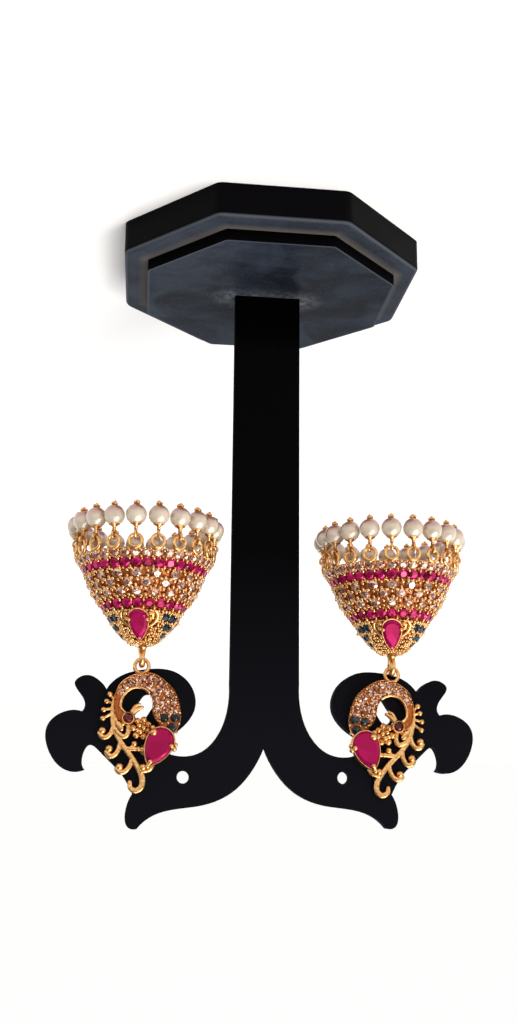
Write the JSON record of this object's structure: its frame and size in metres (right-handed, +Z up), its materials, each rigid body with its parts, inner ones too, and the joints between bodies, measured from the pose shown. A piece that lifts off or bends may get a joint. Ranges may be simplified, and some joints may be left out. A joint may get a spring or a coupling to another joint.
{
  "type": "jhumka earrings on a display stand",
  "caption": "Gold-tone jhumka earrings with peacock studs, stone-set bell drops and a pearl fringe, hung on a black cut-out display stand.",
  "frame": {"origin": "middle of the stand's underside, on the surface it stands on", "axes": "+Z up, +X along the arms to the viewer's right, +Y to the back; the jewellery faces -Y"},
  "size_m": [0.0886, 0.064, 0.1263],
  "materials": {
    "stand_plastic": "moulded black plastic, satin, slightly dusty",
    "board_acrylic": "laser-cut black acrylic sheet",
    "gold": "cast alloy with a warm gold plating, polished",
    "ruby": "faceted pink-red glass",
    "garnet": "round dark red glass",
    "sapphire": "round dark blue glass",
    "pearl": "imitation pearl with a nacre lacquer"
  },
  "bodies": {
    "stand": {"stand_base": "stand_plastic", "stand_board": "board_acrylic", "left_stud_frame": "gold", "left_stud_ruby": "ruby", "left_stud_eye": "garnet", "left_stud_sapphires": "sapphire", "left_ear_post": "gold", "right_stud_frame": "gold", "right_stud_ruby": "ruby", "right_stud_eye": "garnet", "right_stud_sapphires": "sapphire", "right_ear_post": "gold"},
    "bell_left": {"left_bell_dome": "gold", "left_bell_rubies": "ruby", "left_pearl_pins": "gold", "left_pearl_01": "pearl", "left_pearl_02": "pearl", "left_pearl_03": "pearl", "left_pearl_04": "pearl", "left_pearl_05": "pearl", "left_pearl_06": "pearl", "left_pearl_07": "pearl", "left_pearl_08": "pearl", "left_pearl_09": "pearl", "left_pearl_10": "pearl", "left_pearl_11": "pearl", "left_pearl_12": "pearl", "left_pearl_13": "pearl", "left_pearl_14": "pearl", "left_pearl_15": "pearl", "left_pearl_16": "pearl", "left_pearl_17": "pearl", "left_pearl_18": "pearl", "left_pearl_19": "pearl", "left_pearl_20": "pearl"},
    "bell_right": {"right_bell_dome": "gold", "right_bell_rubies": "ruby", "right_pearl_pins": "gold", "right_pearl_01": "pearl", "right_pearl_02": "pearl", "right_pearl_03": "pearl", "right_pearl_04": "pearl", "right_pearl_05": "pearl", "right_pearl_06": "pearl", "right_pearl_07": "pearl", "right_pearl_08": "pearl", "right_pearl_09": "pearl", "right_pearl_10": "pearl", "right_pearl_11": "pearl", "right_pearl_12": "pearl", "right_pearl_13": "pearl", "right_pearl_14": "pearl", "right_pearl_15": "pearl", "right_pearl_16": "pearl", "right_pearl_17": "pearl", "right_pearl_18": "pearl", "right_pearl_19": "pearl", "right_pearl_20": "pearl"}
  },
  "joints": [
    {"name": "left_bell_swing", "type": "hinge", "parent": "stand", "child": "bell_left", "pos_m": [-0.02683, -0.00235, 0.0933], "axis": [1, 0, 0], "range_deg": [-30, 30]},
    {"name": "right_bell_swing", "type": "hinge", "parent": "stand", "child": "bell_right", "pos_m": [0.0255, -0.00235, 0.09235], "axis": [1, 0, 0], "range_deg": [-30, 30]}
  ]
}
